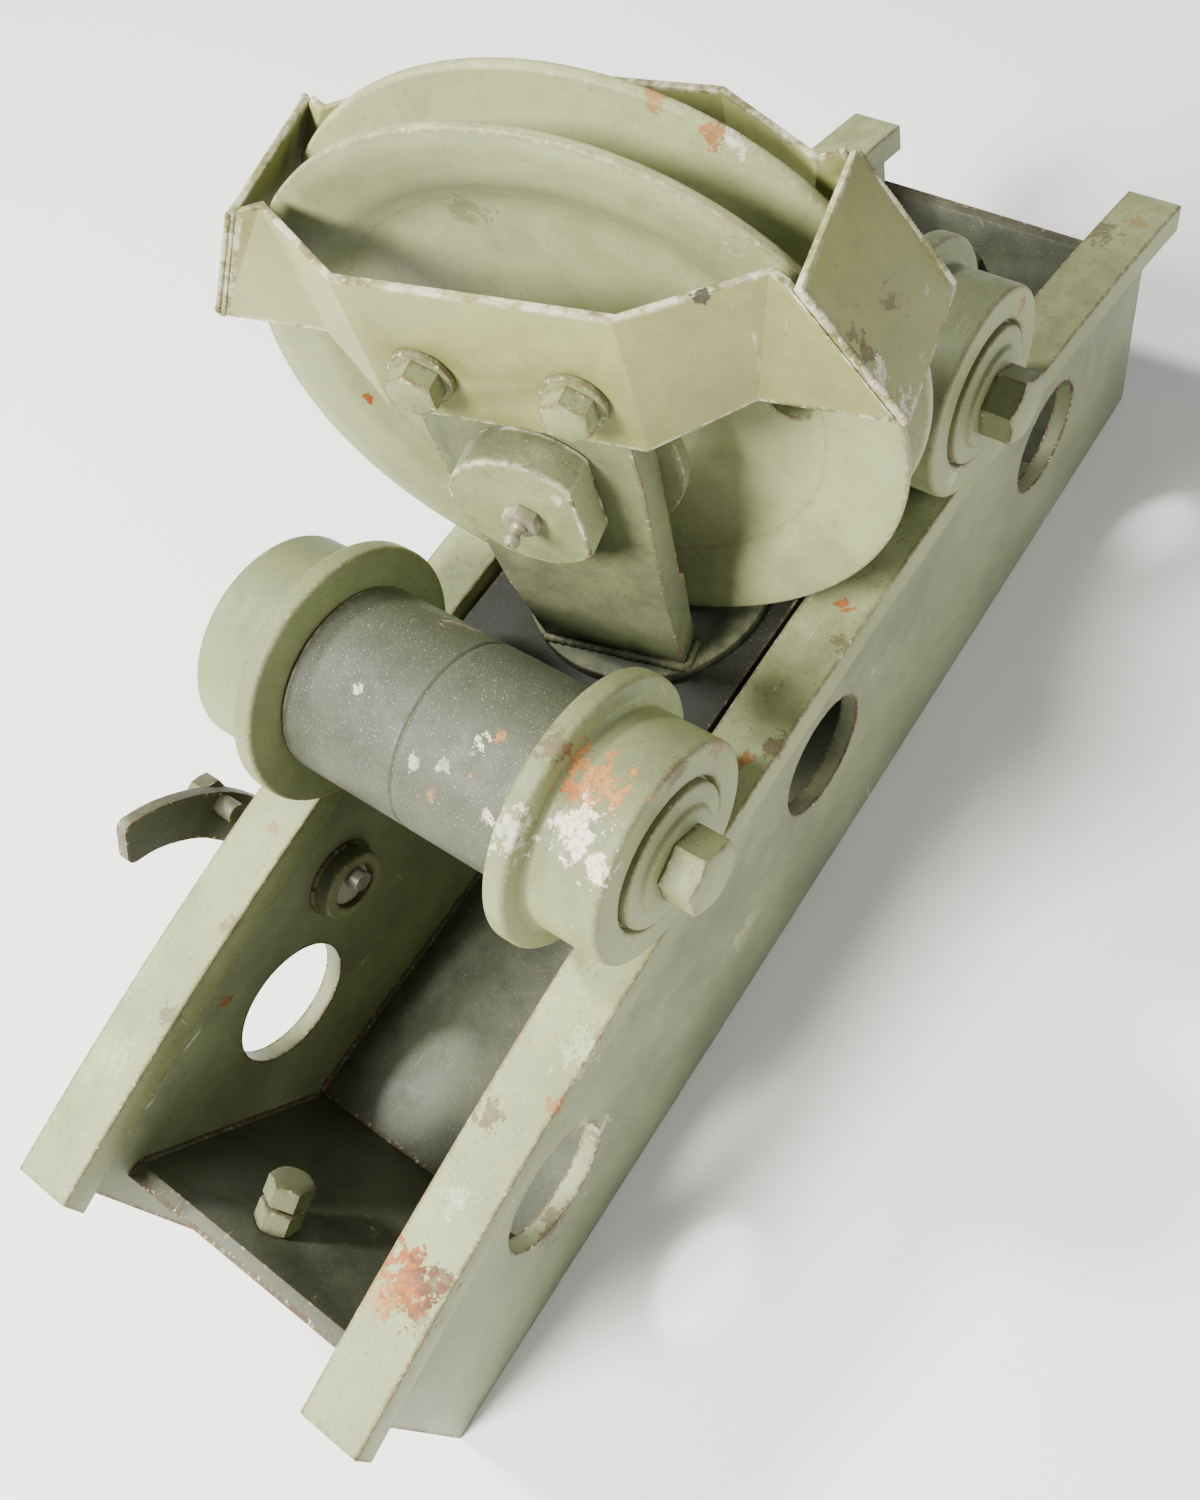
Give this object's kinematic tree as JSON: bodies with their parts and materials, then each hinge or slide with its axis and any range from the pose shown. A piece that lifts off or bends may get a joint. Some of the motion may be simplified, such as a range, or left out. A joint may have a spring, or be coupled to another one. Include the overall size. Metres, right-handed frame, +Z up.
{
  "type": "travelling swivel sheave",
  "caption": "Travelling swivel sheave: grooved rope wheel in a guarded fork on a turntable, on a flanged-wheel carriage that rolls along the arched rails of a box frame.",
  "frame": {"origin": "centre of the underside of the box frame, midway between the two rails and below the highest point of their arc", "axes": "+X along the rails towards the end that is further right in the picture, +Y across from the near rail to the far rail, +Z up"},
  "size_m": [0.716, 0.2761, 0.462],
  "materials": {
    "rail_paint": "satin sage-green paint, worn brown along the edges, with a rusty patch at the lower end",
    "web_paint": "satin sage-green paint with rusty hole lips",
    "plate_paint": "satin sage-green paint, dusty on its upper faces",
    "stop_paint": "satin sage-green paint, speckled with dirt",
    "lever_paint": "satin sage-green paint, worn at the tip",
    "bare_steel": "dull greased steel",
    "carriage_paint": "satin sage-green paint, dusty",
    "tube_paint": "dark speckled paint, chipped to light primer",
    "wheel_paint": "satin sage-green paint, worn to rust and pale primer on treads and rims",
    "cap_paint": "satin sage-green paint",
    "bolt_paint": "satin sage-green paint, chipped at the corners",
    "fork_paint": "satin sage-green paint, dark at the foot",
    "pin_paint": "satin sage-green paint, worn white along the edge",
    "sheave_paint": "satin sage-green paint with rusty chips and a pale worn rim",
    "guard_paint": "satin sage-green paint, worn light along the top edges",
    "nipple_steel": "dull plated steel",
    "bush_bronze": "dull bearing bronze"
  },
  "bodies": {
    "frame": {"bottom_plate": "plate_paint", "near_web": "web_paint", "far_web": "web_paint", "near_rail": "rail_paint", "far_rail": "rail_paint", "lower_end_plate": "plate_paint", "upper_end_plate": "plate_paint", "lower_stop_bolt": "stop_paint", "lower_stop_nut": "stop_paint", "upper_stop_bolt": "stop_paint", "upper_stop_nut": "stop_paint", "lock_boss": "stop_paint"},
    "lever": {"lock_lever": "lever_paint", "lock_spindle": "bare_steel", "lever_nut": "lever_paint", "lever_bolt": "lever_paint"},
    "carriage": {"carriage_deck": "carriage_paint", "near_keeper": "carriage_paint", "far_keeper": "carriage_paint", "lower_axle_saddle": "carriage_paint", "lower_axle_tube": "tube_paint", "lower_axle_shaft": "bare_steel", "upper_axle_saddle": "carriage_paint", "upper_axle_tube": "tube_paint", "upper_axle_shaft": "bare_steel", "lower_near_axle_cap": "cap_paint", "lower_near_axle_bolt": "bolt_paint", "lower_far_axle_cap": "cap_paint", "lower_far_axle_bolt": "bolt_paint", "upper_near_axle_cap": "cap_paint", "upper_near_axle_bolt": "bolt_paint", "upper_far_axle_cap": "cap_paint", "upper_far_axle_bolt": "bolt_paint"},
    "lower_near_wheel": {"lower_near_wheel": "wheel_paint"},
    "lower_far_wheel": {"lower_far_wheel": "wheel_paint"},
    "upper_near_wheel": {"upper_near_wheel": "wheel_paint"},
    "upper_far_wheel": {"upper_far_wheel": "wheel_paint"},
    "swivel": {"turntable": "fork_paint", "king_nut": "bare_steel", "near_cheek": "fork_paint", "far_cheek": "fork_paint", "near_thrust_disc": "fork_paint", "far_thrust_disc": "fork_paint", "sheave_pin": "pin_paint", "sheave_pin_nut": "pin_paint", "grease_nipple": "nipple_steel", "near_guard_plate": "guard_paint", "far_guard_plate": "guard_paint", "right_guard_end": "guard_paint", "left_guard_end": "guard_paint", "near_right_guard_washer": "bolt_paint", "near_right_guard_bolt": "bolt_paint", "near_left_guard_washer": "bolt_paint", "near_left_guard_bolt": "bolt_paint", "far_right_guard_washer": "bolt_paint", "far_right_guard_bolt": "bolt_paint", "far_left_guard_washer": "bolt_paint", "far_left_guard_bolt": "bolt_paint"},
    "sheave": {"sheave": "sheave_paint", "sheave_bush": "bush_bronze"}
  },
  "joints": [
    {"name": "travel", "type": "hinge", "parent": "frame", "child": "carriage", "pos_m": [0, 0, -1.106], "axis": [0, 1, 0], "range_deg": [-8.2, 8.2]},
    {"name": "lower_near_roll", "type": "hinge", "parent": "carriage", "child": "lower_near_wheel", "pos_m": [-0.11804, -0.081, 0.24656], "axis": [0, 1, 0], "range_deg": [-230, 230]},
    {"name": "lower_far_roll", "type": "hinge", "parent": "carriage", "child": "lower_far_wheel", "pos_m": [-0.11804, 0.081, 0.24656], "axis": [0, 1, 0], "range_deg": [-230, 230]},
    {"name": "upper_near_roll", "type": "hinge", "parent": "carriage", "child": "upper_near_wheel", "pos_m": [0.12796, -0.081, 0.24566], "axis": [0, 1, 0], "range_deg": [-230, 230]},
    {"name": "upper_far_roll", "type": "hinge", "parent": "carriage", "child": "upper_far_wheel", "pos_m": [0.12796, 0.081, 0.24566], "axis": [0, 1, 0], "range_deg": [-230, 230]},
    {"name": "swivel_turn", "type": "hinge", "parent": "carriage", "child": "swivel", "pos_m": [0.00479, 0, 0.19999], "axis": [0.0037, 0, 1], "range_deg": [-47, 19]},
    {"name": "sheave_spin", "type": "hinge", "parent": "swivel", "child": "sheave", "pos_m": [0.00528, 0, 0.33399], "axis": [0.9703, 0.2419, -0.0036], "continuous": true},
    {"name": "lever_turn", "type": "hinge", "parent": "frame", "child": "lever", "pos_m": [-0.176, 0.1, 0.127], "axis": [0, 1, 0], "range_deg": [-90, 0]}
  ],
  "couplings": [
    {"joint": "lower_near_roll", "follows": "travel", "ratio": 27.637},
    {"joint": "lower_far_roll", "follows": "travel", "ratio": 27.637},
    {"joint": "upper_near_roll", "follows": "travel", "ratio": 27.637},
    {"joint": "upper_far_roll", "follows": "travel", "ratio": 27.637}
  ]
}
